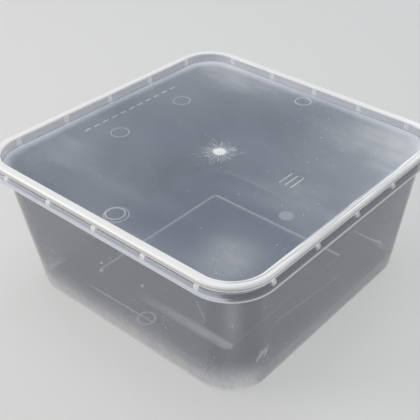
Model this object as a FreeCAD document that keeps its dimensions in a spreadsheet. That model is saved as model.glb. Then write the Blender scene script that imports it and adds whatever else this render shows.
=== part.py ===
"""Square food tub with a press-on lid, both moulded in clear polypropylene.

Millimetres, +Z up. The origin is the middle of the tub's base, on the surface that it stands on.
The tub is a drafted shell with a stepped base and a stepped rim: a ledge, a seat wall, an
upside-down channel and an outer skirt, with gusset ribs in the channel. The lid is a sunken
panel inside a bead that closes over the rim and snaps under the rim's lip.
"""
import FreeCAD, Part
import Sketcher
import math
import os
import re

SHEET = "sizes"

SIZES = {
    # Outline that the tub's rim and the lid share: every rim line is concentric with it
    "rim_half": 90.0,            # middle to the outside of the skirt, at its lower edge
    "rim_corner": 24.0,
    "skirt_edge_height": 74.0,   # lower edge of the skirt above the ground
    # Tub shell
    "base_inset": 13.1,          # foot of the walls inside the rim's outline
    "base_corner": 21.5,
    "wall_inset": 6.35,          # top of the walls inside the rim's outline
    "wall_thick": 0.6,
    "base_thick": 0.65,
    "base_round": 2.2,
    "step_border": 27.2,         # flat border round the raised square in the base
    "step_corner": 1.5,
    "step_rise": 0.5,
    # Tub rim: heights above the skirt's lower edge, insets from the rim's outline
    "shoulder_height": 4.6,      # shoulder outside the rim, beside the lid's edge
    "rim_height": 7.2,           # top of the rim, which carries the lid
    "seat_inset": 4.65,          # inside of the wall round the lid's plug
    "lip_inset": 2.05,           # outside of the lip that the lid snaps under
    "lip_depth": 0.35,
    "lip_height": 1.2,
    "skirt_flare": 0.5,
    "skirt_round": 0.9,
    "edge_round": 0.25,
    # Gusset ribs in the rim's channel
    "rib_end_gap": 0.7,          # last rib to the start of the rounded corner
    "rib_width": 2.6,
    "rib_foot_height": 0.7,
    # Lid
    "lid_fit": 0.25,             # gap between the lid and the rim, all round
    "lid_thick": 0.6,
    "panel_thick": 0.55,
    "panel_depth": 5.05,         # panel's top below the top of the bead
    "panel_foot_round": 0.5,
    "panel_gap": 0.3,            # panel above the tub's ledge
    "lid_edge_gap": 0.35,        # lid's edge above the tub's shoulder
    "catch_height": 0.6,
    "bead_round": 1.1,
    "bead_inner_round": 0.5,
    # Raised moulding marks, with their places inside the base or the rim
    "mark_rise": 0.15,
    "disc_radius": 5.0,          # ejector rings, front and back
    "disc_band": 0.7,
    "base_disc_inset": 15.4,
    "lid_disc_inset": 16.0,
    "gate_radius": 1.2,
    "gate_rise": 0.35,
    "dash_length": 4.2,          # row of plain dashes along the left of the lid
    "dash_width": 1.0,
    "dash_pitch": 6.6,
    "dash_row_inset": 20.0,
    "dash_row_shift": 3.2,
    "ring_radius": 5.2,          # two plain rings inside that row
    "ring_band": 0.5,
    "ring_inset": 35.5,
    "ring_pitch": 48.6,
    "ring_shift": 3.9,
    "bar_length": 11.0,          # three plain bars on the right of the lid
    "bar_width": 0.8,
    "bar_pitch": 3.6,
    "bar_inset": 43.6,
    "bar_shift": 2.2,
}
DASHES = 11
BARS = 3
RIBS = 5
SIDES = 4

# Heights, measured from the ground
SHOULDER = "(skirt_edge_height + shoulder_height)"
RIM = "(skirt_edge_height + rim_height)"
LID_TOP = f"({RIM} + lid_thick)"
LID_EDGE = f"({SHOULDER} + lid_edge_gap)"
PANEL_TOP = f"({LID_TOP} - panel_depth)"
PANEL_UNDER = f"({PANEL_TOP} - panel_thick)"
LEDGE = f"({PANEL_UNDER} - panel_gap)"

# Half-widths, measured from the middle
CORE = "(rim_half - rim_corner)"
BASE = "(rim_half - base_inset)"
WALL_TOP = "(rim_half - wall_inset)"
STEP = f"({BASE} - step_border)"
SEAT = "(rim_half - seat_inset)"
LIP = "(rim_half - lip_inset)"
GROOVE = f"({LIP} - lip_depth)"
SKIRT_TOP = "(rim_half - skirt_flare)"
PLUG = f"({SEAT} - lid_fit)"
PLUG_INSIDE = f"({PLUG} - lid_thick)"
LID_SIDE = f"({LIP} + lid_fit + lid_thick)"

ORIGIN = (-1, 1)
TOLERANCE = 1e-3


# Sheet

def make_sheet(doc):
    """Writes every driving size into a spreadsheet cell with an alias."""
    sheet = doc.addObject("Spreadsheet::Sheet", SHEET)
    for row, (alias, value) in enumerate(SIZES.items(), start=1):
        sheet.set(f"A{row}", alias)
        sheet.set(f"B{row}", str(value))
        sheet.setAlias(f"B{row}", alias)
    doc.recompute()


def on_sheet(formula):
    """Turns the aliases in a formula into references to the sheet."""
    return re.sub(r"[a-z]+(_[a-z]+)+", lambda alias: f"{SHEET}.{alias.group()}", formula)


def number(formula):
    """Value of a formula of aliases."""
    sheet = FreeCAD.ActiveDocument.getObject(SHEET)
    return float(sheet.evalExpression(on_sheet(formula)))


def bind(thing, name, formula):
    """Ties a property to a formula of aliases."""
    thing.setExpression(name, on_sheet(formula))


# Sketches

def new_sketch(body, name, role, offset="0"):
    """Empty sketch on one of the body's origin planes, moved along the plane's normal."""
    sketch = body.newObject("Sketcher::SketchObject", name)
    plane = next(part for part in body.Origin.OriginFeatures if part.Role == role)
    sketch.AttachmentSupport = [(plane, "")]
    sketch.MapMode = "FlatFace"
    bind(sketch, "AttachmentOffset.Base.z", offset)
    return sketch


def relate(sketch, kind, *places):
    """Adds a geometric constraint."""
    sketch.addConstraint(Sketcher.Constraint(kind, *places))


def dimension(sketch, kind, places, formula):
    """Adds a driving dimension tied to the sheet."""
    index = sketch.addConstraint(Sketcher.Constraint(kind, *places, number(formula)))
    bind(sketch, f"Constraints[{index}]", formula)


def locate(sketch, point, x, y):
    """Fixes a point by its two distances from the sketch's origin."""
    for kind, formula in (("DistanceX", x), ("DistanceY", y)):
        if number(formula) < 0:
            dimension(sketch, kind, point + ORIGIN, f"-({formula})")
        else:
            dimension(sketch, kind, ORIGIN + point, formula)


def chain(sketch, indices):
    """Joins the ends of consecutive edges into a closed wire."""
    for index, following in zip(indices, indices[1:] + indices[:1]):
        relate(sketch, "Coincident", index, 2, following, 1)


def add_polygon(sketch, points):
    """Closed wire of straight edges through points given as pairs of formulas."""
    places = [FreeCAD.Vector(number(x), number(y), 0) for x, y in points]
    first = sketch.GeometryCount
    for start, end in zip(places, places[1:] + places[:1]):
        sketch.addGeometry(Part.LineSegment(start, end))
    chain(sketch, list(range(first, sketch.GeometryCount)))
    for index, (x, y) in enumerate(points, start=first):
        locate(sketch, (index, 1), x, y)


def add_box(sketch, x, y, length, width):
    """Rectangle about a centre, its length along the sketch's second axis."""
    left, right = f"{x} - {width} / 2", f"{x} + {width} / 2"
    low, high = f"{y} - {length} / 2", f"{y} + {length} / 2"
    add_polygon(sketch, [(left, low), (right, low), (right, high), (left, high)])


def add_circle(sketch, x, y, radius):
    """Circle about a centre."""
    centre = FreeCAD.Vector(number(x), number(y), 0)
    index = sketch.addGeometry(Part.Circle(centre, FreeCAD.Vector(0, 0, 1), number(radius)))
    locate(sketch, (index, 3), x, y)
    dimension(sketch, "Radius", (index,), radius)


def add_ring(sketch, x, y, radius, band):
    """Flat ring about a centre."""
    add_circle(sketch, x, y, radius)
    add_circle(sketch, x, y, f"{radius} - {band}")


def add_rounded_square(sketch, half, corner):
    """Rounded square about the origin, starting at the foot of its right-hand side."""
    side = number(half)
    radius = number(corner)
    core = side - radius
    edges = []
    for turn in range(SIDES):
        angle = turn * math.pi / 2
        spin = FreeCAD.Rotation(FreeCAD.Vector(0, 0, 1), math.degrees(angle))
        start, end, centre = (spin.multVec(FreeCAD.Vector(*point, 0)) for point in
                              ((side, -core), (side, core), (core, core)))
        circle = Part.Circle(centre, FreeCAD.Vector(0, 0, 1), radius)
        edges.append(sketch.addGeometry(Part.LineSegment(start, end)))
        edges.append(sketch.addGeometry(Part.ArcOfCircle(circle, angle, angle + math.pi / 2)))
    for index, following in zip(edges, edges[1:] + edges[:1]):
        relate(sketch, "Tangent", index, 2, following, 1)
    for line, kind in zip(edges[::2], ("Vertical", "Horizontal") * 2):
        relate(sketch, kind, line)
    for arc in edges[3::2]:
        relate(sketch, "Equal", edges[1], arc)
    relate(sketch, "Equal", edges[0], edges[2])
    relate(sketch, "Symmetric", edges[1], 3, edges[5], 3, *ORIGIN)
    dimension(sketch, "Radius", (edges[1],), corner)
    dimension(sketch, "DistanceX", ORIGIN + (edges[0], 1), half)


def add_rib_face(sketch, middle):
    """Upright rib seen face on: straight sides under the rim and a round foot."""
    radius = "rib_width / 2"
    foot = f"skirt_edge_height + rib_foot_height + {radius}"
    top = f"{RIM} - wall_thick / 2"
    x, y, across, head = number(middle), number(foot), number(radius), number(top)
    circle = Part.Circle(FreeCAD.Vector(x, y, 0), FreeCAD.Vector(0, 0, 1), across)
    arc = sketch.addGeometry(Part.ArcOfCircle(circle, math.pi, 2 * math.pi))
    corners = [FreeCAD.Vector(x + across, y, 0), FreeCAD.Vector(x + across, head, 0),
               FreeCAD.Vector(x - across, head, 0), FreeCAD.Vector(x - across, y, 0)]
    right, across_top, left = (sketch.addGeometry(Part.LineSegment(start, end))
                               for start, end in zip(corners, corners[1:]))
    relate(sketch, "Tangent", arc, 2, right, 1)
    relate(sketch, "Coincident", right, 2, across_top, 1)
    relate(sketch, "Coincident", across_top, 2, left, 1)
    relate(sketch, "Tangent", left, 2, arc, 1)
    relate(sketch, "Vertical", right)
    relate(sketch, "Horizontal", across_top)
    dimension(sketch, "Radius", (arc,), radius)
    locate(sketch, (arc, 3), middle, foot)
    dimension(sketch, "DistanceY", ORIGIN + (across_top, 1), top)


# Features

def make_loft(body, kind, name, sections):
    """Straight-sided loft, added or cut, between rounded squares (half, corner, height), top first."""
    sketches = []
    for index, (half, corner, height) in enumerate(sections):
        sketch = new_sketch(body, f"{name}_section_{index}", "XY_Plane", height)
        add_rounded_square(sketch, half, corner)
        sketches.append(sketch)
    loft = body.newObject(kind, name)
    loft.Profile = sketches[0]
    loft.Sections = sketches[1:]
    loft.Ruled = True
    FreeCAD.ActiveDocument.recompute()
    return loft


def make_pad(body, name, sketch, length, kind="PartDesign::Pad"):
    """Pad or pocket of a sketch, along the sketch's own normal."""
    pad = body.newObject(kind, name)
    pad.Profile = sketch
    bind(pad, "Length", length)
    FreeCAD.ActiveDocument.recompute()
    return pad


def sweep_round_rim(body, name, points):
    """Sweeps a closed profile (distance from the middle, height) round the rim's outline."""
    spine = new_sketch(body, f"{name}_path", "XY_Plane", "skirt_edge_height")
    add_rounded_square(spine, "rim_half", "rim_corner")
    profile = new_sketch(body, f"{name}_profile", "XZ_Plane", CORE)
    add_polygon(profile, points)
    pipe = body.newObject("PartDesign::AdditivePipe", name)
    pipe.Profile = profile
    pipe.Spine = spine
    FreeCAD.ActiveDocument.recompute()
    return pipe


def reach(point, core):
    """Distance of a point from the middle, measured square to the nearest rounded side."""
    across = max(abs(point.x) - core, 0.0)
    along = max(abs(point.y) - core, 0.0)
    return core + math.hypot(across, along)


def loop_edges(shape, half, core, height):
    """Names of the edges that run round the part at one reach and one height."""
    names = []
    for index, edge in enumerate(shape.Edges, start=1):
        middle = edge.valueAt((edge.FirstParameter + edge.LastParameter) / 2)
        points = [vertex.Point for vertex in edge.Vertexes] + [middle]
        level = all(abs(point.z - height) < TOLERANCE for point in points)
        if level and all(abs(reach(point, core) - half) < TOLERANCE for point in points):
            names.append(f"Edge{index}")
    return names


def round_loop(body, name, half, corner, height, radius):
    """Fillets the loop of edges of a rounded square at one height."""
    FreeCAD.ActiveDocument.recompute()
    base = body.Tip
    core = number(f"{half} - ({corner})")
    edges = loop_edges(base.Shape, number(half), core, number(height))
    if len(edges) != 2 * SIDES:
        raise RuntimeError(f"{name}: {len(edges)} edges found")
    fillet = body.newObject("PartDesign::Fillet", name)
    fillet.Base = (base, edges)
    bind(fillet, "Radius", radius)
    FreeCAD.ActiveDocument.recompute()


def round_rim_loop(body, name, half, height, radius):
    """Fillets a loop that is concentric with the rim."""
    round_loop(body, name, half, f"{half} - {CORE}", height, radius)


# Tub

def make_shell(body):
    """Drafted walls and base with rounded bottom edges."""
    make_loft(body, "PartDesign::AdditiveLoft", "outside", [
        (WALL_TOP, f"{WALL_TOP} - {CORE}", LEDGE),
        (BASE, "base_corner", "0")])
    round_loop(body, "bottom_edge", BASE, "base_corner", "0", "base_round")
    make_loft(body, "PartDesign::SubtractiveLoft", "inside", [
        (f"{WALL_TOP} - wall_thick", f"{WALL_TOP} - {CORE} - wall_thick", LEDGE),
        (f"{BASE} - wall_thick", "base_corner - wall_thick", "base_thick")])
    round_loop(body, "inside_bottom_edge", f"{BASE} - wall_thick",
               "base_corner - wall_thick", "base_thick", "base_round - wall_thick")


def make_base_step(body):
    """Square middle of the base, raised from below and above alike."""
    above = new_sketch(body, "step_above", "XY_Plane", "base_thick / 2")
    add_rounded_square(above, f"{STEP} + base_thick", "step_corner + base_thick")
    make_pad(body, "step_up", above, "step_rise + base_thick / 2")
    below = new_sketch(body, "step_below", "XY_Plane", "step_rise")
    add_rounded_square(below, STEP, "step_corner")
    make_pad(body, "step_hollow", below, "step_rise", "PartDesign::Pocket")


def make_base_marks(body):
    """Gate mark in the middle of the base and an ejector ring in front of and behind it."""
    gate = new_sketch(body, "gate", "XY_Plane", "base_thick + step_rise")
    add_circle(gate, "0", "0", "gate_radius")
    make_pad(body, "gate_mark", gate, "mark_rise")
    discs = new_sketch(body, "discs", "XY_Plane", "base_thick")
    for side in (-1, 1):
        add_ring(discs, "0", f"{side} * ({BASE} - base_disc_inset)", "disc_radius", "disc_band")
    make_pad(body, "disc_marks", discs, "mark_rise")


def make_rim(body):
    """Ledge, seat wall, channel with its snap lip, shoulder and skirt, in one section."""
    wall_middle = f"{WALL_TOP} - wall_thick / 2"
    sweep_round_rim(body, "rim", [
        (wall_middle, f"{LEDGE} - wall_thick"),
        (wall_middle, LEDGE),
        (SEAT, LEDGE),
        (SEAT, RIM),
        (LIP, RIM),
        (LIP, f"{RIM} - lip_height"),
        (GROOVE, f"{RIM} - lip_height - lip_depth"),
        (GROOVE, SHOULDER),
        (SKIRT_TOP, SHOULDER),
        ("rim_half", "skirt_edge_height"),
        ("rim_half - wall_thick", "skirt_edge_height"),
        (f"{SKIRT_TOP} - wall_thick", f"{SHOULDER} - wall_thick"),
        (f"{GROOVE} - wall_thick", f"{SHOULDER} - wall_thick"),
        (f"{GROOVE} - wall_thick", f"{RIM} - wall_thick"),
        (f"{SEAT} + wall_thick", f"{RIM} - wall_thick"),
        (f"{SEAT} + wall_thick", f"{LEDGE} - wall_thick")])
    round_rim_loop(body, "skirt_shoulder", SKIRT_TOP, SHOULDER, "skirt_round")
    round_rim_loop(body, "lip_edge", LIP, RIM, "edge_round")
    round_rim_loop(body, "seat_edge", SEAT, RIM, "edge_round")


def make_ribs(body):
    """Gusset ribs across the channel, repeated on all four sides."""
    sketch = new_sketch(body, "rib_faces", "YZ_Plane", f"{SEAT} + wall_thick / 2")
    for index in range(RIBS):
        share = 2 * index / (RIBS - 1) - 1
        add_rib_face(sketch, f"{share} * ({CORE} - rib_width / 2 - rib_end_gap)")
    ribs = make_pad(body, "ribs", sketch, f"{GROOVE} - {SEAT} - wall_thick")
    pattern = body.newObject("PartDesign::PolarPattern", "ribs_round")
    pattern.Originals = [ribs]
    pattern.Axis = (next(part for part in body.Origin.OriginFeatures if part.Role == "Z_Axis"), [""])
    pattern.Angle = 360
    pattern.Occurrences = SIDES
    body.Tip = pattern
    FreeCAD.ActiveDocument.recompute()


def make_tub(doc):
    """The tub, one piece."""
    body = doc.addObject("PartDesign::Body", "tub")
    make_shell(body)
    make_base_step(body)
    make_base_marks(body)
    make_rim(body)
    make_ribs(body)
    return body


# Lid

def make_bead(body):
    """Plug wall, bead and short skirt with its catch, in one section, and the panel inside it."""
    catch_top = f"{LID_EDGE} + catch_height"
    sweep_round_rim(body, "bead", [
        (PLUG_INSIDE, PANEL_UNDER),
        (PLUG_INSIDE, LID_TOP),
        (LID_SIDE, LID_TOP),
        (LID_SIDE, LID_EDGE),
        (f"{GROOVE} + lid_fit", LID_EDGE),
        (f"{GROOVE} + lid_fit", catch_top),
        (f"{LIP} + lid_fit", f"{catch_top} + lip_depth"),
        (f"{LIP} + lid_fit", RIM),
        (PLUG, RIM),
        (PLUG, PANEL_UNDER)])
    panel = new_sketch(body, "panel_outline", "XY_Plane", PANEL_UNDER)
    add_rounded_square(panel, PLUG, f"{PLUG} - {CORE}")
    make_pad(body, "panel", panel, "panel_thick")
    round_rim_loop(body, "bead_outer_edge", LID_SIDE, LID_TOP, "bead_round")
    round_rim_loop(body, "bead_inner_edge", PLUG_INSIDE, LID_TOP, "bead_inner_round")
    round_rim_loop(body, "panel_foot", PLUG_INSIDE, PANEL_TOP, "panel_foot_round")


def make_lid_marks(body):
    """Gate, ejector rings and the plain raised marks on the panel."""
    gate = new_sketch(body, "gate", "XY_Plane", PANEL_TOP)
    add_circle(gate, "0", "0", "gate_radius")
    make_pad(body, "gate_mark", gate, "gate_rise")
    marks = new_sketch(body, "marks", "XY_Plane", PANEL_TOP)
    row = "dash_row_inset - rim_half"
    column = "ring_inset - rim_half"
    for side in (-1, 1):
        add_ring(marks, "0", f"{side} * (rim_half - lid_disc_inset)", "disc_radius", "disc_band")
        add_ring(marks, column, f"ring_shift + {side} * ring_pitch / 2", "ring_radius", "ring_band")
    for index in range(DASHES):
        place = f"dash_row_shift + {index - DASHES // 2} * dash_pitch"
        add_box(marks, row, place, "dash_length", "dash_width")
    for index in range(BARS):
        place = f"rim_half - bar_inset + {index - BARS // 2} * bar_pitch"
        add_box(marks, place, "bar_shift", "bar_length", "bar_width")
    make_pad(body, "raised_marks", marks, "mark_rise")


def make_lid(doc):
    """The lid, one piece."""
    body = doc.addObject("PartDesign::Body", "lid")
    make_bead(body)
    make_lid_marks(body)
    return body


# Checks and export

def check(doc, bodies):
    """Stops on any failed feature and on any shape that is not one valid solid."""
    failed = [thing.Name for thing in doc.Objects if {"Invalid", "Error"} & set(thing.State)]
    if failed:
        raise RuntimeError(f"failed features: {failed}")
    for body in bodies:
        shape = body.Shape
        if shape.isNull() or not shape.isValid() or len(shape.Solids) != 1:
            raise RuntimeError(f"{body.Label} is not one valid solid")
        print(body.Label, f"{shape.Volume:.0f} mm3", shape.BoundBox)


def main():
    """Builds the document and writes one STEP file for each piece."""
    doc = FreeCAD.newDocument("food_tub")
    make_sheet(doc)
    bodies = [make_tub(doc), make_lid(doc)]
    doc.recompute()
    check(doc, bodies)
    os.makedirs("parts", exist_ok=True)
    for body in bodies:
        body.Shape.exportStep(f"parts/{body.Label}.step")


main()
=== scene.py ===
"""Looks of the square food tub and its press-on lid, both in clear, slightly milky polypropylene.

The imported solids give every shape. This file gives the two pieces their moulded plastic, and
sets up the floor, the light and the camera.
"""
import logging
import math
from dataclasses import dataclass, field
from enum import Enum
from typing import Any, Sequence, Union

import bpy
from mathutils import Matrix, Vector


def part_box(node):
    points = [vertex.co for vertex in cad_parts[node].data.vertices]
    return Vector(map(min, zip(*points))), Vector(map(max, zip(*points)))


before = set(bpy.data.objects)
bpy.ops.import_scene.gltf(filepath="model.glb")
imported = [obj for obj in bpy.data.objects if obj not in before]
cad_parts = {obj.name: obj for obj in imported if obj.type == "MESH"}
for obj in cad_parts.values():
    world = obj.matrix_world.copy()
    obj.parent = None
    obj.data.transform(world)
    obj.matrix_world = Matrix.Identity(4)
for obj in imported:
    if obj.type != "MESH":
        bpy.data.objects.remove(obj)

logging.basicConfig(level=logging.INFO, format="%(message)s")
log = logging.getLogger("food_tub")

MM = 0.001
CLEAR_LAYERS = 48                 # clear faces that one line of sight may pass
WALL_FROM, WALL_TO = 76.0, 77.0   # marks on the front and right walls fade in between these
Colour = tuple[float, float, float]
Point = tuple[float, float]
Number = Union[float, "Value"]
Owner = Union[bpy.types.Material, bpy.types.World]


class Op(Enum):
    """Math node operations that the plastic uses."""

    ADD = "ADD"
    SUBTRACT = "SUBTRACT"
    MULTIPLY = "MULTIPLY"
    DIVIDE = "DIVIDE"
    POWER = "POWER"
    ABSOLUTE = "ABSOLUTE"
    MINIMUM = "MINIMUM"
    MAXIMUM = "MAXIMUM"
    SQRT = "SQRT"
    SINE = "SINE"
    COSINE = "COSINE"
    PING_PONG = "PINGPONG"
    ANGLE = "ARCTAN2"


class Value:
    """A shader number. Python arithmetic on it adds Math nodes."""

    def __init__(self, shader: "Shader", socket: bpy.types.NodeSocket) -> None:
        """Wraps an output socket.

        Args:
            shader: The node tree being built.
            socket: The output socket that carries the number.
        """
        self.shader = shader
        self.socket = socket

    def __add__(self, other: Number) -> "Value":
        """Sum."""
        return self.shader.maths(Op.ADD, self, other)

    def __radd__(self, other: Number) -> "Value":
        """Sum, reflected."""
        return self.shader.maths(Op.ADD, other, self)

    def __sub__(self, other: Number) -> "Value":
        """Difference."""
        return self.shader.maths(Op.SUBTRACT, self, other)

    def __rsub__(self, other: Number) -> "Value":
        """Difference, reflected."""
        return self.shader.maths(Op.SUBTRACT, other, self)

    def __mul__(self, other: Number) -> "Value":
        """Product."""
        return self.shader.maths(Op.MULTIPLY, self, other)

    def __rmul__(self, other: Number) -> "Value":
        """Product, reflected."""
        return self.shader.maths(Op.MULTIPLY, other, self)

    def __truediv__(self, other: Number) -> "Value":
        """Quotient."""
        return self.shader.maths(Op.DIVIDE, self, other)

    def __pow__(self, other: Number) -> "Value":
        """Power."""
        return self.shader.maths(Op.POWER, self, other)

    def __abs__(self) -> "Value":
        """Size without the sign."""
        return self.shader.maths(Op.ABSOLUTE, self)

    def at_least(self, other: Number) -> "Value":
        """The larger of two numbers."""
        return self.shader.maths(Op.MAXIMUM, self, other)

    def at_most(self, other: Number) -> "Value":
        """The smaller of two numbers."""
        return self.shader.maths(Op.MINIMUM, self, other)

    def root(self) -> "Value":
        """Square root."""
        return self.shader.maths(Op.SQRT, self)

    def sine(self) -> "Value":
        """Sine of an angle in radians."""
        return self.shader.maths(Op.SINE, self)

    def cosine(self) -> "Value":
        """Cosine of an angle in radians."""
        return self.shader.maths(Op.COSINE, self)

    def ping_pong(self, limit: float) -> "Value":
        """Distance to the nearest multiple of twice the limit."""
        return self.shader.maths(Op.PING_PONG, self, limit)

    def ramp(self, start: float, end: float) -> "Value":
        """Smooth step from 0 at the start to 1 at the end.

        Args:
            start: Input where the step begins.
            end: Input where the step ends; it may be less than start.

        Returns:
            The stepped number.
        """
        low, high = (0.0, 1.0) if start <= end else (1.0, 0.0)
        settings = {"interpolation_type": "SMOOTHSTEP", "clamp": True}
        inputs = {0: self, 1: min(start, end), 2: max(start, end), 3: low, 4: high}
        return self.shader.value("ShaderNodeMapRange", settings, inputs)

    def near(self, middle: float, half_width: float) -> "Value":
        """Soft band: one at the middle, nothing past the half-width on either side."""
        return abs(self - middle).ramp(half_width, 0.0)


class Shader:
    """The node tree of a material or of the world, built by calls."""

    def __init__(self, owner: Owner) -> None:
        """Empties the owner's node tree.

        Args:
            owner: The material or the world.
        """
        self.owner = owner
        owner.use_nodes = True
        self.tree = owner.node_tree
        self.tree.nodes.clear()

    def node(self, kind: str, settings: dict[str, Any], inputs: dict[Any, Any]) -> bpy.types.Node:
        """Adds one node.

        Args:
            kind: Blender's name of the node type.
            settings: Properties, set before the sockets.
            inputs: Plain values, Values of this shader or sockets, by socket name or index.

        Returns:
            The node.
        """
        node = self.tree.nodes.new(kind)
        for name, setting in settings.items():
            setattr(node, name, setting)
        for name, given in inputs.items():
            if isinstance(given, Value):
                given = given.socket
            if isinstance(given, bpy.types.NodeSocket):
                self.tree.links.new(given, node.inputs[name])
            else:
                node.inputs[name].default_value = given
        return node

    def value(self, kind: str, settings: dict[str, Any], inputs: dict[Any, Any],
              output: Union[int, str] = 0) -> Value:
        """Adds one node and wraps one of its outputs as a number."""
        return Value(self, self.node(kind, settings, inputs).outputs[output])

    def maths(self, op: Op, *terms: Number) -> Value:
        """Adds one Math node."""
        return self.value("ShaderNodeMath", {"operation": op.value}, dict(enumerate(terms)))

    def blend(self, share: Value, first: Any, second: Any) -> bpy.types.NodeSocket:
        """Mixes two colours.

        Args:
            share: How much of the second colour shows.
            first: A colour or a colour socket.
            second: A colour or a colour socket.

        Returns:
            The mixed colour's socket.
        """
        pair = [c if isinstance(c, bpy.types.NodeSocket) else (*c, 1.0) for c in (first, second)]
        inputs = {0: share, 6: pair[0], 7: pair[1]}
        return self.node("ShaderNodeMix", {"data_type": "RGBA"}, inputs).outputs[2]

    def noise(self, place: bpy.types.NodeSocket, scale: float, detail: float = 3.0,
              stretch: Sequence[float] = (1, 1, 1), turn: float = 0.0) -> Value:
        """Cloudy noise from 0 to 1 about one half.

        Args:
            place: The place that it is read at.
            scale: How many features lie in one unit of the place.
            detail: How many finer layers it has.
            stretch: How much faster it changes along x, y and z.
            turn: Angle in radians that it is turned by, seen in plan.

        Returns:
            The noise.
        """
        mapping = self.node("ShaderNodeMapping", {}, {
            "Vector": place, "Scale": tuple(stretch), "Rotation": (0.0, 0.0, turn)})
        inputs = {"Vector": mapping.outputs[0], "Scale": scale, "Detail": detail}
        return self.value("ShaderNodeTexNoise", {}, inputs, "Fac")

    def mix(self, share: Any, first: bpy.types.Node, second: bpy.types.Node) -> bpy.types.Node:
        """Mixes two shaders.

        Args:
            share: Share of the second, as a plain number, a Value or a socket.
            first: Shader shown where the share is 0.
            second: Shader shown where the share is 1.

        Returns:
            The mixed shader.
        """
        inputs = {0: share, 1: first.outputs[0], 2: second.outputs[0]}
        return self.node("ShaderNodeMixShader", {}, inputs)

    def finish(self, surface: bpy.types.Node, output: str = "ShaderNodeOutputMaterial") -> None:
        """Connects the surface to the tree's output node."""
        self.node(output, {}, {"Surface": surface.outputs[0]})


@dataclass(frozen=True)
class RimLines:
    """Sizes in millimetres that the tub's rim and the lid share."""

    half: float
    corner: float
    skirt_edge: float
    shoulder: float
    rib_pitch: float
    rim_top: float
    lid_top: float

    @property
    def core(self) -> float:
        """Half-distance between the centres of the rounded corners."""
        return self.half - self.corner


class Side(Enum):
    """Faces that carry strokes, each seen square on."""

    FLAT = "flat"
    FRONT = "front"
    RIGHT = "right"


@dataclass(frozen=True)
class Stroke:
    """A soft straight mark on a face, in millimetres."""

    start: Point
    end: Point
    half_width: float
    strength: float
    fade_in: float = 1.0
    fade_out: float = 1.0


class Place:
    """Where a point of a piece is, in millimetres, for the patterns that follow its form."""

    def __init__(self, shader: Shader, rim: RimLines) -> None:
        """Reads the object's own coordinates.

        Args:
            shader: The material being built.
            rim: The rim's sizes.
        """
        self.vector = shader.node("ShaderNodeTexCoord", {}, {}).outputs["Object"]
        split = shader.node("ShaderNodeSeparateXYZ", {}, {0: self.vector})
        self.x, self.y, self.z = (Value(shader, split.outputs[i]) * (1 / MM) for i in range(3))
        self.across = abs(self.x).at_least(abs(self.y))
        self.along = abs(self.x).at_most(abs(self.y))
        beyond_x = (abs(self.x) - rim.core).at_least(0.0)
        beyond_y = (abs(self.y) - rim.core).at_least(0.0)
        rounded = (beyond_x * beyond_x + beyond_y * beyond_y).root() + rim.core
        past_core = (beyond_x + beyond_y).ramp(0.0, 0.01)
        self.reach = self.across.at_most(rounded).at_least(rounded * past_core)

    def stroke(self, side: Side, mark: Stroke) -> Value:
        """A stroke on the level faces, the front wall or the right wall.

        Args:
            side: The face, seen square on.
            mark: The stroke, in that face's own two directions.

        Returns:
            Its strength on the stroke, nothing away from it.
        """
        across, up = {Side.FLAT: (self.x, self.y), Side.FRONT: (self.x, self.z),
                      Side.RIGHT: (self.y, self.z)}[side]
        run = Vector(mark.end) - Vector(mark.start)
        length = run.length
        east, north = run / length
        dx = across - mark.start[0]
        dy = up - mark.start[1]
        along = dx * east + dy * north
        aside = abs(dy * east - dx * north)
        found = (aside.ramp(mark.half_width, 0.0) * along.ramp(0.0, mark.fade_in)
                 * along.ramp(length, length - mark.fade_out) * mark.strength)
        if side is Side.FRONT:
            found = found * self.y.ramp(-WALL_FROM, -WALL_TO)
        if side is Side.RIGHT:
            found = found * self.x.ramp(WALL_FROM, WALL_TO)
        return found

    def strokes(self, side: Side, marks: Sequence[Stroke]) -> Value:
        """The strongest of several strokes.

        Args:
            side: The face they lie on.
            marks: The strokes.

        Returns:
            Their joint strength.
        """
        found = self.stroke(side, marks[0])
        for mark in marks[1:]:
            found = found.at_least(self.stroke(side, mark))
        return found

    def distance(self, centre: Point) -> Value:
        """Distance from an upright line, seen in plan.

        Args:
            centre: Where the line stands (x, y).

        Returns:
            The distance.
        """
        dx = self.x - centre[0]
        dy = self.y - centre[1]
        return (dx * dx + dy * dy).root()


@dataclass(frozen=True)
class ClearPlastic:
    """Moulded polypropylene: mostly see-through, with a thin milky haze and a gloss."""

    passed: Colour = (0.760, 0.783, 0.820)   # light that one clear face passes
    haze: float = 0.12                       # share of a face that is milky
    clouding: float = 0.12                   # what the clouds add to it at most
    most_haze: float = 0.97
    glow: float = 0.40                       # share of white milkiness that is lit from behind
    shadow: float = 0.95                     # light that one face lets through as it shades
    milk: Colour = (0.175, 0.225, 0.315)
    bright: Colour = (0.955, 0.95, 0.94)
    # painted shade: the colour that folds and creases are darkened towards
    shade: Colour = (0.05, 0.055, 0.07)
    cool: Colour = (0.77, 0.83, 0.98)        # thin walls scatter a bluer white
    roughness: float = 0.4
    refraction: float = 1.49
    gloss_roughness: float = 0.18
    gloss_face_on: float = 0.042
    gloss_power: float = 5.0                 # how late the gloss rises to full at a glance


@dataclass(frozen=True)
class Scatter:
    """One layer of small marks scattered over the faces, sizes in millimetres."""

    cell: float
    length: float
    width: float
    share: float


FINE_SCRATCHES = Scatter(cell=7.0, length=5.0, width=0.10, share=0.22)
LONG_SCRATCHES = Scatter(cell=30.0, length=14.0, width=0.14, share=0.22)
SPECKS = Scatter(cell=6.5, length=0.8, width=0.36, share=0.14)


@dataclass(frozen=True)
class Layer:
    """A feature that shows in the plastic, or painted light or shade on it, with the haze and the
    white that it adds.
    """

    mask: Value
    haze: float = 0.0
    white: float = 0.0


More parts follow.
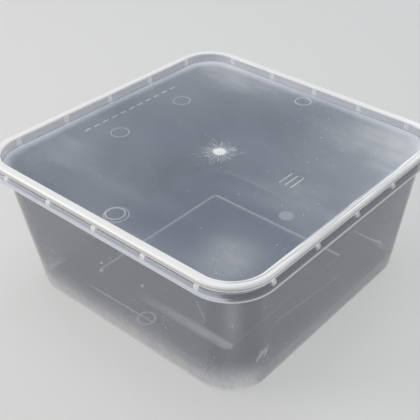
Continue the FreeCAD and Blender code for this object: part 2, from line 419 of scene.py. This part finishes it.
class Plastic:
    """Base of the two plastic materials: haze and brightness over a clear body."""

    def __init__(self, name: str, finish: ClearPlastic, rim: RimLines) -> None:
        """Starts the material.

        Args:
            name: The material's name.
            finish: Its finish.
            rim: The rim's sizes, which the patterns follow.
        """
        self.finish = finish
        self.rim = rim
        self.shader = Shader(bpy.data.materials.new(name))
        self.place = Place(self.shader, rim)

    def clouds(self) -> Value:
        """Soft uneven milkiness.

        Returns:
            Its strength, from 0 to 1.
        """
        wide = self.shader.noise(self.place.vector, 9.0, 1.0)
        fine = self.shader.noise(self.place.vector, 45.0, 3.0)
        return wide.ramp(0.32, 0.68) * 0.65 + fine.ramp(0.3, 0.72) * 0.35

    def grain(self) -> Value:
        """Fine mould texture that breaks up the haze."""
        return self.shader.noise(self.place.vector, 800.0, 2.0).ramp(0.34, 0.66)

    def scatter(self, marks: Scatter) -> Value:
        """Straight hairlines or specks, one at most in each cell of a loose grid.

        Args:
            marks: Their sizes.

        Returns:
            One on a mark, nothing elsewhere.
        """
        place = self.place
        flat = self.shader.node("ShaderNodeCombineXYZ", {}, {
            0: (place.x + place.y) * (1 / marks.cell), 1: (place.y + place.z) * (1 / marks.cell)})
        cells = self.shader.node("ShaderNodeTexVoronoi", {"voronoi_dimensions": "2D"}, {
            "Vector": flat.outputs[0], "Scale": 1.0})
        local = self.shader.node("ShaderNodeVectorMath", {"operation": "SUBTRACT"}, {
            0: flat.outputs[0], 1: cells.outputs["Position"]})
        offset = self.shader.node("ShaderNodeSeparateXYZ", {}, {0: local.outputs[0]})
        chance = self.shader.node("ShaderNodeSeparateXYZ", {}, {0: cells.outputs["Color"]})
        dx, dy = (Value(self.shader, offset.outputs[i]) for i in (0, 1))
        turn, drawn, reach = (Value(self.shader, chance.outputs[i]) for i in range(3))
        angle = turn * math.pi
        east, north = angle.cosine(), angle.sine()
        aside = abs(dy * east - dx * north)
        along = abs(dx * east + dy * north)
        half_length = marks.length / marks.cell / 2
        thin = aside.ramp(marks.width / marks.cell, 0.0)
        ended = (along / (reach + 0.2)).ramp(half_length, half_length * 0.6)
        return thin * ended * drawn.ramp(marks.share + 0.01, marks.share)

    def wear(self) -> Value:
        """Fine scratches and dust-fine specks."""
        return (self.scatter(FINE_SCRATCHES) * 0.45 + self.scatter(LONG_SCRATCHES) * 0.4
                + self.scatter(SPECKS))

    def ribs(self, along: Value, half_width: float) -> Value:
        """Where the gusset ribs stand, at equal steps from the middle of each side.

        Args:
            along: Distance along the side from its middle.
            half_width: Half of a rib's width.

        Returns:
            One on a rib, nothing elsewhere.
        """
        return along.ping_pong(self.rim.rib_pitch / 2).ramp(half_width + 0.3, half_width)

    def clear_haze(self) -> Value:
        """How milky the plastic is where no feature adds to it."""
        return self.clouds() * self.finish.clouding + self.finish.haze

    def layered(self, haze: Value, layers: Sequence[Layer]) -> tuple[Value, Value]:
        """Lays features over the plastic.

        Args:
            haze: How milky it is without them.
            layers: The features.

        Returns:
            How milky each point is, and how near the milkiness is to white, from 0 to 1.
        """
        white: Number = 0.0
        for layer in layers:
            if layer.haze:
                haze = haze + layer.mask * layer.haze
            if layer.white:
                white = white + layer.mask * layer.white
        return haze, white.at_most(1.0)

    def surface(self, haze: Value, white: Value, cool: Value, dark: Number = 0.0,
                backlit: Number = 1.0) -> bpy.types.Material:
        """Builds the surface.

        Args:
            haze: How milky each point is, from 0 to 1.
            white: How near the milkiness is to white, from 0 to 1.
            cool: How blue its white is, from 0 to 1.
            dark: How much painted shade it takes in the folds, from 0 to 1.
            backlit: How much light from behind the milkiness takes, from 0 to 1.

        Returns:
            The finished material.
        """
        finish = self.finish
        shader = self.shader
        colour = shader.blend(white, finish.milk, shader.blend(cool, finish.bright, finish.cool))
        # Painted shade: folds are darkened towards the shade colour.
        if isinstance(dark, Value):
            colour = shader.blend(dark, colour, finish.shade)
        clear = shader.node("ShaderNodeBsdfTransparent", {}, {"Color": (*finish.passed, 1.0)})
        milky = shader.node("ShaderNodeBsdfPrincipled", {}, {
            "Base Color": colour, "Roughness": finish.roughness, "IOR": finish.refraction})
        glow = shader.node("ShaderNodeBsdfTranslucent", {}, {"Color": (*finish.bright, 1.0)})
        lit = shader.mix(white * finish.glow * backlit, milky, glow)
        body = shader.mix(haze.at_most(finish.most_haze), clear, lit)
        gloss = shader.node("ShaderNodeBsdfAnisotropic", {}, {"Roughness": finish.gloss_roughness})
        facing = shader.value("ShaderNodeLayerWeight", {}, {"Blend": 0.5}, "Facing")
        mirror = finish.gloss_face_on + (1 - finish.gloss_face_on) * facing ** finish.gloss_power
        coated = shader.mix(mirror, body, gloss)
        rays = shader.node("ShaderNodeLightPath", {}, {})
        unshaded = shader.node("ShaderNodeBsdfTransparent", {}, {
            "Color": (finish.shadow, finish.shadow, finish.shadow, 1.0)})
        whole = shader.mix(rays.outputs["Is Diffuse Ray"], coated, unshaded)
        shader.finish(shader.mix(rays.outputs["Is Shadow Ray"], whole, unshaded))
        return shader.owner


@dataclass
class Tub:
    """The tub: shell, stepped base and rim. Sizes in millimetres."""

    rim: RimLines
    finish: ClearPlastic = field(default_factory=lambda: ClearPlastic(
        passed=(0.765, 0.768, 0.784), haze=0.10, clouding=0.22, shadow=0.91,
        milk=(0.26, 0.27, 0.315)))
    base_top: float = 2.2
    step_half: float = 49.7
    seat_half: float = 85.35
    riser_half: float = 87.95
    skirt_inside: float = 88.2
    flange_height: float = 75.8
    rib_half_width: float = 1.3
    shine_half_width: float = 1.2
    shine_lean: float = 1.9
    mark_offset: float = 61.5
    mark_radius: float = 4.7

    def step_edge_highlights(self, place: Place) -> Value:
        """Painted highlights on the base step's four edges, uneven in strength, and painted glints
        at its two front corners.

        Args:
            place: The tub's places.

        Returns:
            Their joint strength.
        """
        half = self.step_half
        edges = (
            Stroke((-half, half), (half, half), 2.1, 1.0),
            Stroke((-half, half), (-half, -half), 1.8, 0.8),
            Stroke((-36.0, -half - 1.6), (half - 1.5, -half + 0.2), 4.8, 1.0, fade_in=70.0),
            Stroke((half, -half), (half, half), 1.2, 0.3),
        )
        ends = place.distance((-half + 1.0, -half)).ramp(2.0, 0.8).at_least(
            place.distance((half - 1.5, -half + 0.8)).ramp(2.6, 1.2))
        return place.strokes(Side.FLAT, edges).at_least(ends)

    def base_marks_and_glint(self, place: Place) -> Value:
        """The base's long straight line, a painted glint along its back edge, its ring and its
        round pad.

        Args:
            place: The tub's places.

        Returns:
            Their joint strength.
        """
        lines = (
            Stroke((-52.0, -62.8), (6.5, -61.4), 0.8, 1.0, fade_in=22.0),
            # Painted glint along the back of the base.
            Stroke((39.0, 75.4), (63.0, 75.4), 0.9, 0.7, fade_in=6.0),
        )
        ring = place.distance((0.0, -self.mark_offset)).near(self.mark_radius, 1.1)
        pad = place.distance((0.0, self.mark_offset)).ramp(
            self.mark_radius + 0.5, self.mark_radius - 0.3)
        return place.strokes(Side.FLAT, lines).at_least(ring * 0.8).at_least(pad)

    def wall_marks(self, place: Place) -> Value:
        """Short scratches on the front wall, and a scuff and a long faint line on the right wall.

        Args:
            place: The tub's places.

        Returns:
            Their joint strength.
        """
        front = (
            Stroke((58.2, 61.0), (63.0, 51.0), 0.45, 0.4),
            Stroke((-50.5, 33.6), (-44.8, 32.6), 0.4, 0.5),
            Stroke((-6.9, 48.9), (-6.1, 46.8), 0.8, 1.0),
            Stroke((1.6, 56.4), (2.2, 54.9), 0.7, 1.0),
            Stroke((21.6, 50.0), (23.0, 47.8), 0.7, 0.9),
        )
        scuff = [
            Stroke((-63.4 + 1.5 * i, 19.5 + 1.6 * (i % 3)),
                   (-60.8 + 1.4 * i, 27.0 - 1.3 * (i % 2)), 0.4, 0.9)
            for i in range(5)]
        line = Stroke((-56.0, 39.8), (4.0, 32.2), 0.5, 0.35, fade_in=8.0)
        return place.strokes(Side.FRONT, front).at_least(
            place.strokes(Side.RIGHT, [*scuff, line]))

    def rib_shine(self, plastic: Plastic) -> Value:
        """Painted highlights on the skirt before the ribs, for the light they throw, shifted
        towards the front corner.

        Args:
            plastic: The tub's plastic.

        Returns:
            One before a rib, nothing elsewhere.
        """
        place = plastic.place
        front, right = place.y.ramp(-84.0, -86.0), place.x.ramp(84.0, 86.0)
        parts = ((place.x - self.shine_lean, front), (place.y + self.shine_lean, right),
                 (place.along, 1 - front.at_least(right)))
        shine = [plastic.ribs(along, self.shine_half_width) * side for along, side in parts]
        return shine[0] + shine[1] + shine[2]

    def wall_layers(self, plastic: Plastic) -> list[Layer]:
        """The walls' milky foot, whiter on the front and right walls as painted light, painted
        highlights on the bends between the walls, and the walls' marks.

        Args:
            plastic: The tub's plastic.

        Returns:
            The layers.
        """
        place = plastic.place
        wall = place.reach.ramp(70.0, 73.0)
        # The front and right walls, where the light from the front is painted on.
        near = place.y.ramp(-50.0, -68.0).at_least(place.x.ramp(50.0, 68.0) * 0.5)
        drips = plastic.shader.noise(place.vector, 520.0, 3.0, (1, 1, 0.4))
        frost = drips.ramp(0.3, 0.7) * 0.14 + 0.92
        # Milky foot, whitened as painted light on the front and right walls.
        foot = place.z.ramp(26.0, 1.0) * wall * near * frost
        # Painted highlight on the bottom curve of the front and right walls.
        bottom_round_highlight = place.z.ramp(4.0, 0.5) * wall * near
        diagonal = abs(place.y) - abs(place.x)
        bend = (diagonal.near(0.0, 28.0) * wall * place.y.ramp(-42.0, -58.0)
                * place.x.ramp(42.0, 58.0))
        # Painted highlight running up the front corner's bend.
        corner = (diagonal.near(2.5, 11.0) * bend * place.z.ramp(76.0, 66.0)
                  * place.z.ramp(6.0, 60.0))
        # The front corner's foot, whitened as painted light.
        corner_foot = bend * place.z.ramp(30.0, 2.0) * frost
        # Painted highlights on the other bends.
        beside = place.x.ramp(40.0, 60.0).at_least(place.y.ramp(-40.0, -60.0))
        side_bend_highlights = (diagonal.near(0.0, 26.0) * wall * beside - bend).at_least(0.0)
        return [
            Layer(foot, haze=0.24, white=0.5),
            Layer(bottom_round_highlight, haze=0.2, white=0.4),
            Layer(corner, haze=0.05, white=0.3),
            Layer(corner_foot, haze=0.16, white=0.4),
            Layer(side_bend_highlights, haze=0.12, white=0.4),
            Layer(self.wall_marks(place), haze=0.6, white=1.0),
        ]

    def base_layers(self, plastic: Plastic) -> list[Layer]:
        """Painted highlights on the base's step, and the base's marks with a painted glint.

        Args:
            plastic: The tub's plastic.

        Returns:
            The layers.
        """
        place = plastic.place
        on_base = place.z.ramp(self.base_top + 0.8, self.base_top)
        return [
            Layer(self.step_edge_highlights(place) * on_base, haze=0.8, white=1.0),
            Layer(self.base_marks_and_glint(place) * on_base, haze=1.0, white=1.0),
        ]

    def rim_layers(self, plastic: Plastic) -> list[Layer]:
        """The rim's seat, the ribs in its channel, its riser and its top.

        Args:
            plastic: The tub's plastic.

        Returns:
            The layers.
        """
        place, rim = plastic.place, self.rim
        outside_seat = place.reach.ramp(self.seat_half + 0.1, self.seat_half + 0.5)
        inside_skirt = place.reach.ramp(self.skirt_inside, self.skirt_inside - 0.4)
        in_channel = outside_seat * inside_skirt * place.z.ramp(
            rim.skirt_edge + 0.3, rim.skirt_edge + 0.8)
        seat = place.reach.near(self.seat_half + 0.3, 1.0) * place.z.ramp(74.5, 76.0)
        ribs = plastic.ribs(place.along, self.rib_half_width) * in_channel.at_least(seat * 0.8)
        riser = place.reach.near(self.riser_half, 0.7) * place.z.ramp(
            rim.shoulder - 0.5, rim.shoulder - 0.1)
        rim_top = place.z.ramp(rim.rim_top - 1.5, rim.rim_top)
        return [
            Layer(seat, haze=0.6, white=1.0),
            Layer(ribs, haze=1.0, white=1.0),
            Layer(riser, haze=0.4, white=0.6),
            Layer(rim_top, haze=0.3, white=0.5),
        ]

    def dress(self, node: bpy.types.Object) -> None:
        """Gives the tub its plastic.

        Args:
            node: The tub's solid.
        """
        plastic = Plastic("tub_plastic", self.finish, self.rim)
        place, rim = plastic.place, self.rim
        skirt = place.reach.ramp(self.skirt_inside, self.skirt_inside + 0.4)
        clear_skirt = skirt * place.z.ramp(rim.shoulder, rim.shoulder - 0.6)
        blue_skirt = clear_skirt * place.y.ramp(-84.0, -88.0)
        # Painted highlights on the skirt where the ribs stand behind it.
        rib_shine_on_skirt = self.rib_shine(plastic) * skirt * place.z.ramp(
            self.flange_height, self.flange_height + 1.2)
        # Painted highlight on the flange ledge, strongest on the front side.
        flange_highlight = skirt * place.z.ramp(self.flange_height + 0.8, self.flange_height) * (
            place.y.ramp(-83.0, -88.0) * 0.85 + 0.15)
        # Painted highlight along the skirt's lower lip.
        skirt_lip_highlight = place.z.near(rim.skirt_edge, 0.8) * place.reach.ramp(88.0, 89.0)
        haze, white = plastic.layered(plastic.clear_haze() * (1 - clear_skirt * 0.6), [
            *self.wall_layers(plastic),
            *self.base_layers(plastic),
            *self.rim_layers(plastic),
            Layer(blue_skirt, haze=0.4, white=0.65),
            Layer(rib_shine_on_skirt, haze=0.5, white=1.0),
            Layer(flange_highlight, haze=0.42, white=1.0),
            Layer(skirt_lip_highlight, haze=0.9, white=1.0),
            Layer(plastic.wear(), haze=0.5, white=0.8),
            Layer(plastic.grain(), haze=0.035),
        ])
        cool = blue_skirt * (1 - (skirt_lip_highlight + rib_shine_on_skirt).at_most(1.0) * 0.8)
        node.data.materials.clear()
        node.data.materials.append(plastic.surface(haze, white, cool))


@dataclass
class Lid:
    """The lid: sunken panel, plug wall, bead and short skirt. Sizes in millimetres."""

    rim: RimLines
    finish: ClearPlastic = field(default_factory=ClearPlastic)
    panel_half: float = 84.4
    panel_top: float = 76.75
    skirt_half: float = 87.6
    edge: float = 78.95
    rib_half_width: float = 1.3
    mark_rise: float = 0.15
    halo_centre: Point = (0.7, -74.0)
    halo_radius: float = 6.0

    def gate_burst(self, plastic: Plastic) -> Value:
        """Bright gate with fine streaks of stress running out from it.

        Args:
            plastic: The lid's plastic.

        Returns:
            Its strength.
        """
        place = plastic.place
        distance = place.distance((0.0, 0.0))
        angle = plastic.shader.maths(Op.ANGLE, place.y, place.x)
        spokes = plastic.shader.node("ShaderNodeCombineXYZ", {}, {
            0: angle * 7.0, 1: distance * 0.12})
        grain = plastic.shader.noise(spokes.outputs[0], 1.6, 2.0)
        glow = distance.ramp(4.6, 1.3) + distance.ramp(12.0, 2.0) * 0.28
        return glow + grain.ramp(0.48, 0.70) * distance.ramp(22.0, 1.0) * 0.6

    def haze_and_sheen_drifts(self, plastic: Plastic) -> Value:
        """Broad uneven haze on the panel, with painted sheen for soft reflections at the right,
        the back, the left and by the front corner; thin by the gate.

        Args:
            plastic: The lid's plastic.

        Returns:
            Their strength.
        """
        place = plastic.place
        right = place.distance((86.0, 46.0)).ramp(90.0, 0.0) * 0.85
        back = place.distance((-78.0, 72.0)).ramp(80.0, 0.0) * 0.9
        left = place.distance((-72.0, -30.0)).ramp(40.0, 0.0) * 0.5
        near = place.distance((62.0, -62.0)).ramp(34.0, 0.0) ** 2 * 1.1
        smears = plastic.shader.noise(place.vector, 15.0, 4.0, (0.45, 1.5, 1.0), 0.6)
        uneven = plastic.clouds() * 0.7 + smears.ramp(0.35, 0.65) * 0.4 + 0.3
        return (right + back + left + near) * uneven + smears.ramp(0.46, 0.74) * 0.5

    def streaks(self, plastic: Plastic) -> Value:
        """Fine lines that run along the bead, stronger on the right side.

        Args:
            plastic: The lid's plastic.

        Returns:
            Their strength, from 0 to 1.
        """
        place = plastic.place
        lines = plastic.shader.node("ShaderNodeCombineXYZ", {}, {
            0: place.reach * 1.3, 1: place.along * 0.025, 2: place.z * 1.3})
        grain = plastic.shader.noise(lines.outputs[0], 1.0, 2.0)
        return grain.ramp(0.44, 0.56) * (place.x.ramp(70.0, 84.0) * 0.85 + 0.15)

    def dress(self, node: bpy.types.Object) -> None:
        """Gives the lid its plastic.

        Args:
            node: The lid's solid.
        """
        plastic = Plastic("lid_plastic", self.finish, self.rim)
        place, top = plastic.place, self.rim.lid_top
        bead = place.reach.ramp(self.panel_half - 0.3, self.panel_half + 0.2)
        panel = 1 - bead
        plug_wall = (bead * place.reach.ramp(self.panel_half + 1.1, self.panel_half + 0.8)
                     * place.z.ramp(top - 0.3, top - 1.0))
        bead_top = bead * place.z.ramp(top - 1.2, top - 0.4)
        skirt = place.reach.ramp(self.skirt_half, self.skirt_half + 0.5)
        # Painted highlights: bright lines along the skirt's lower edge and just under the top of
        # the bead.
        lines = place.z.near(self.edge + 0.2, 0.5).at_least(
            place.z.near(top - 1.1, 0.4) * 0.7) * skirt
        raised = place.z.near(self.panel_top + self.mark_rise, 0.1) * panel
        halo = place.distance(self.halo_centre).near(self.halo_radius, 0.7) * panel
        # Painted shade: a dark line in the crease at the foot of the plug wall.
        foot = place.reach.near(self.panel_half - 0.1, 0.6) * place.z.near(self.panel_top, 0.6)
        # Painted reflection of the far bead in the panel: a whiter margin, strong on the back and
        # left sides, faint on the others.
        far = place.y.ramp(62.0, 76.0).at_least(place.x.ramp(-62.0, -76.0)) * 0.9 + 0.1
        margin_and_reflection = place.reach.ramp(75.0, self.panel_half) ** 1.6 * panel * far
        # Painted highlights of the tub's ribs, seen through the lid, on the plug wall and the
        # panel's edge.
        rib_shine = plastic.ribs(place.along, self.rib_half_width) * (
            plug_wall + place.reach.ramp(83.2, 84.0) * panel * 0.7)
        burst = (self.gate_burst(plastic) * place.z.ramp(self.panel_top - 0.1, self.panel_top)
                 * panel)
        streaks = self.streaks(plastic)
        streaked_bead = (plug_wall + bead_top + skirt * 0.7) * (1 - streaks * 0.5)
        haze, white = plastic.layered(plastic.clear_haze(), [
            Layer(plug_wall, haze=0.3),
            Layer(bead * (1 - plug_wall), haze=0.24),
            Layer(bead_top * (1 - streaks * 0.4), haze=0.62),
            Layer(skirt, haze=0.3),
            Layer(streaked_bead, white=1.0),
            Layer(lines, haze=0.4, white=1.0),
            Layer(raised, haze=0.3, white=0.8),
            Layer(halo, haze=0.14, white=0.5),
            Layer(foot, haze=0.6),
            Layer(margin_and_reflection, haze=0.6, white=0.62),
            Layer(rib_shine, haze=1.0, white=1.0),
            Layer(burst, haze=1.0, white=1.0),
            # Uneven haze with painted sheen on the panel.
            Layer(self.haze_and_sheen_drifts(plastic) * panel, haze=0.3, white=0.5),
            Layer(plastic.wear(), haze=0.34, white=0.7),
        ])
        cool = (plug_wall + margin_and_reflection).at_most(1.0)
        backlit = 1 - (bead_top + burst).at_most(1.0) * 0.7
        node.data.materials.clear()
        node.data.materials.append(plastic.surface(haze, white, cool, foot, backlit))


@dataclass(frozen=True)
class Lamp:
    """A square area lamp that faces the tub, its place and side in millimetres."""

    name: str
    place: tuple[float, float, float]
    side: float
    watts: float
    tint: Colour


@dataclass
class Studio:
    """Plain pale floor, soft lights and the camera. Sizes in millimetres, angles in degrees."""

    floor_half: float = 4000.0
    floor_gap: float = 0.05
    floor_colour: Colour = (0.70, 0.70, 0.69)
    floor_roughness: float = 0.75
    backdrop_colour: Colour = (0.66, 0.67, 0.67)
    fade_start: float = 450.0
    fade_end: float = 1000.0
    sky_colour: Colour = (0.90, 0.93, 0.97)
    sky_strength: float = 0.5
    lamps: tuple[Lamp, ...] = (
        Lamp("overhead", (-150.0, 100.0, 1500.0), 900.0, 7.0, (0.97, 0.98, 1.0)),
        Lamp("front", (-900.0, -900.0, 700.0), 600.0, 8.0, (1.0, 0.92, 0.82)),
        Lamp("window", (-280.0, 1560.0, 1150.0), 900.0, 4.0, (0.86, 0.93, 1.0)),
    )
    lamp_target: tuple[float, float, float] = (0.0, 0.0, 50.0)
    target: tuple[float, float, float] = (63.0, -28.1, 74.0)
    azimuth: float = 37.07
    elevation: float = 36.48
    roll: float = 1.73
    distance: float = 381.0
    lens: float = 69.1
    sensor: float = 36.0
    shift: tuple[float, float] = (-0.167, 0.036)
    nearest: float = 10.0

    def floor(self) -> None:
        """Adds the floor, a hair below the base so that the two never share a plane."""
        bpy.ops.object.select_all(action="DESELECT")
        bpy.ops.mesh.primitive_plane_add(
            size=2 * self.floor_half * MM, location=(0, 0, -self.floor_gap * MM))
        floor = bpy.context.object
        floor.name = "floor"
        shader = Shader(bpy.data.materials.new("floor_paper"))
        paper = shader.node("ShaderNodeBsdfPrincipled", {}, {
            "Base Color": (*self.floor_colour, 1.0), "Roughness": self.floor_roughness})
        nothing = shader.node("ShaderNodeBsdfTransparent", {}, {})
        coordinates = shader.node("ShaderNodeTexCoord", {}, {})
        away = shader.value("ShaderNodeVectorMath", {"operation": "LENGTH"}, {
            0: coordinates.outputs["Object"]}, "Value")
        fading = away.ramp(self.fade_start * MM, self.fade_end * MM)
        shader.finish(shader.mix(fading, paper, nothing))
        floor.data.materials.append(shader.owner)

    def sky(self) -> None:
        """Sets the world: an even light, and the backdrop's tone wherever it is seen."""
        world = bpy.data.worlds.new("studio")
        bpy.context.scene.world = world
        shader = Shader(world)
        light = shader.node("ShaderNodeBackground", {}, {
            "Color": (*self.sky_colour, 1.0), "Strength": self.sky_strength})
        backdrop = shader.node("ShaderNodeBackground", {}, {
            "Color": (*self.backdrop_colour, 1.0)})
        rays = shader.node("ShaderNodeLightPath", {}, {})
        seen = Value(shader, rays.outputs["Is Camera Ray"])
        for name in ("Is Glossy Ray", "Is Transmission Ray"):
            seen = seen.at_least(Value(shader, rays.outputs[name]))
        shader.finish(shader.mix(seen, light, backdrop), "ShaderNodeOutputWorld")

    def hang(self, lamp: Lamp) -> None:
        """Hangs a lamp and points it at the tub.

        Args:
            lamp: The lamp.
        """
        data = bpy.data.lights.new(lamp.name, "AREA")
        data.shape = "SQUARE"
        data.size = lamp.side * MM
        data.energy = lamp.watts
        data.color = lamp.tint
        hung = bpy.data.objects.new(lamp.name, data)
        hung.location = Vector(lamp.place) * MM
        aim = Vector(self.lamp_target) * MM - hung.location
        hung.rotation_euler = aim.to_track_quat("-Z", "Y").to_euler()
        bpy.context.collection.objects.link(hung)

    def camera(self) -> None:
        """Adds the camera."""
        data = bpy.data.cameras.new("camera")
        data.lens = self.lens
        data.sensor_width = self.sensor
        data.shift_x, data.shift_y = self.shift
        data.clip_start = self.nearest * MM
        camera = bpy.data.objects.new("camera", data)
        azimuth, elevation = math.radians(self.azimuth), math.radians(self.elevation)
        back = Vector((math.sin(azimuth) * math.cos(elevation),
                       -math.cos(azimuth) * math.cos(elevation), math.sin(elevation)))
        turn = (-back).to_track_quat("-Z", "Y").to_matrix() @ Matrix.Rotation(
            math.radians(self.roll), 3, "Z")
        camera.matrix_world = Matrix.Translation(
            (Vector(self.target) + back * self.distance) * MM) @ turn.to_4x4()
        bpy.context.collection.objects.link(camera)
        bpy.context.scene.camera = camera

    def build(self) -> None:
        """Lays the floor, lights it and sets up the camera."""
        self.floor()
        self.sky()
        for lamp in self.lamps:
            self.hang(lamp)
        self.camera()


def main() -> None:
    """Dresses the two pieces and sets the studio."""
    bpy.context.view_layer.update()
    low, high = (Vector(corner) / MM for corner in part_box("tub"))
    lid_low, lid_high = (Vector(corner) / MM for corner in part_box("lid"))
    rim = RimLines(half=high.x, corner=24.0, skirt_edge=74.0, shoulder=78.6, rib_pitch=32.0,
                   rim_top=high.z, lid_top=lid_high.z)
    Tub(rim).dress(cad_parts["tub"])
    log.info("tub dressed, %.1f mm wide", high.x - low.x)
    Lid(rim).dress(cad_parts["lid"])
    log.info("lid dressed, %.1f mm wide", lid_high.x - lid_low.x)
    Studio().build()
    bpy.context.scene.view_settings.view_transform = "Standard"
    bpy.context.scene.cycles.transparent_max_bounces = CLEAR_LAYERS


if __name__ == "__main__":
    main()
